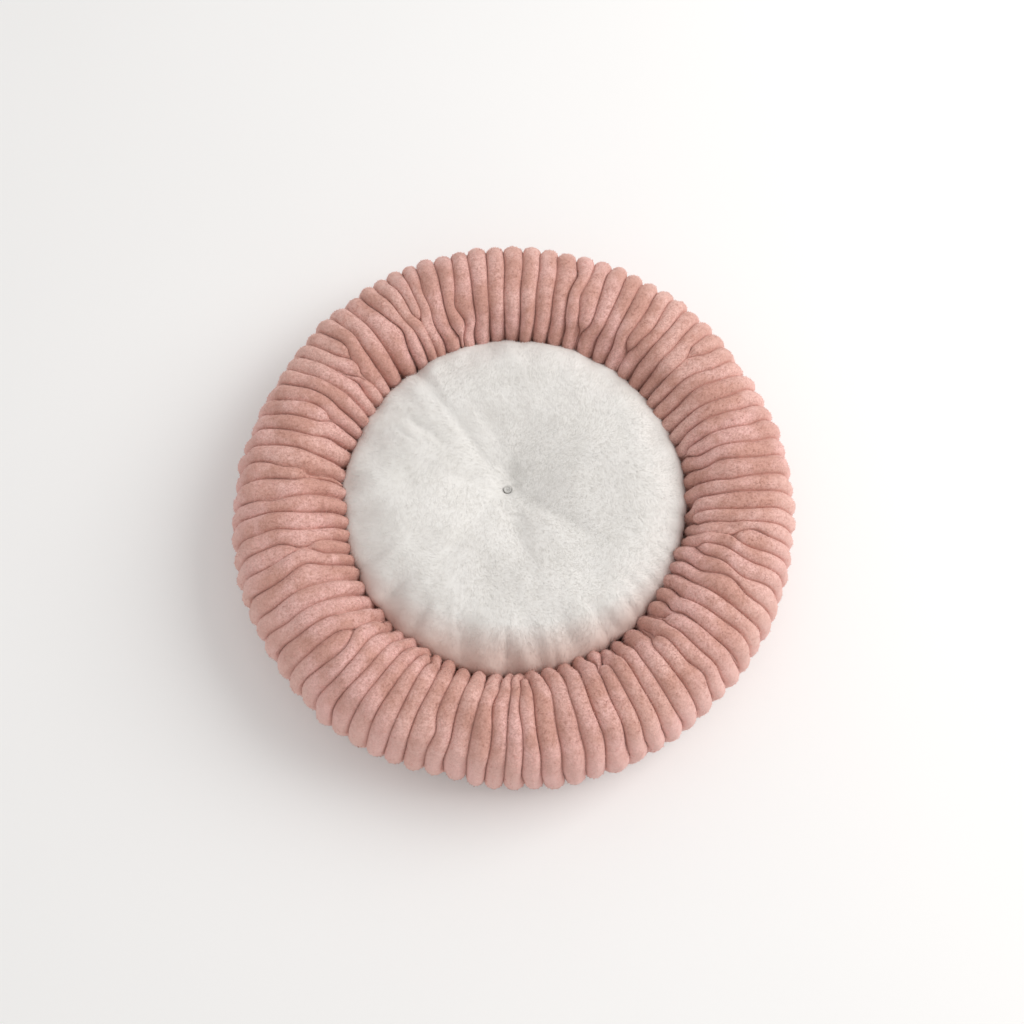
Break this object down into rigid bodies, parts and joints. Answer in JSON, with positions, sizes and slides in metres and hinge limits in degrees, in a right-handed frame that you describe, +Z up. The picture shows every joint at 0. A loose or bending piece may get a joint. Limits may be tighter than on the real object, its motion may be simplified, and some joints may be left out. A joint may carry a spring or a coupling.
{
  "type": "pet cushion bed",
  "caption": "Round pet bed: a stuffed ring in ribbed plush round a lift-out tufted cushion, on a zipped base.",
  "frame": {"origin": "on the floor under the centre of the bed", "axes": "+Z up; the front is -Y, and the zip is at the back, +Y"},
  "size_m": [0.6, 0.6, 0.118],
  "materials": {
    "ribbed_plush": "matte",
    "white_fur": "matte",
    "suede": "matte",
    "lining": "matte",
    "oxford_cloth": "matte",
    "binding_tape": "matte",
    "nonwoven": "matte",
    "fibrefill": "matte",
    "satin_label": "satin",
    "tuft_cord": "matte",
    "button_resin": "satin",
    "zip_coil": "satin",
    "zip_metal": "satin"
  },
  "bodies": {
    "bed": {"bolster_cover": "ribbed_plush", "bolster_liner": "nonwoven", "bolster_fill": "fibrefill", "base_panel": "oxford_cloth", "base_wadding": "fibrefill", "floor_lining": "lining", "seam_binding": "binding_tape", "care_label": "satin_label", "zip_coil_upper": "zip_coil", "zip_coil_lower": "zip_coil", "zip_tape_upper": "binding_tape", "zip_tape_lower": "binding_tape", "zip_stop_open": "zip_metal", "zip_stop_closed": "zip_metal"},
    "slider": {"zip_slider": "zip_metal"},
    "pull": {"zip_pull": "zip_metal"},
    "cushion": {"cushion_top": "white_fur", "cushion_bottom": "suede", "cushion_fill": "fibrefill", "tuft_button_top": "button_resin", "tuft_button_bottom": "button_resin", "tuft_cord": "tuft_cord"}
  },
  "joints": [
    {"name": "zip_travel", "type": "hinge", "parent": "bed", "child": "slider", "pos_m": [0, 0, 0.0133], "axis": [0, 0, 1], "range_deg": [-116.5, 0]},
    {"name": "pull_swing", "type": "hinge", "parent": "slider", "child": "pull", "pos_m": [-0.24532, 0.15151, 0.01103], "axis": [-0.6514, 0.4023, 0.6433], "range_deg": [0, 90]},
    {"name": "cushion_lift", "type": "slide", "parent": "bed", "child": "cushion", "axis": [0, 0, 1], "range_m": [0, 0.2]}
  ]
}
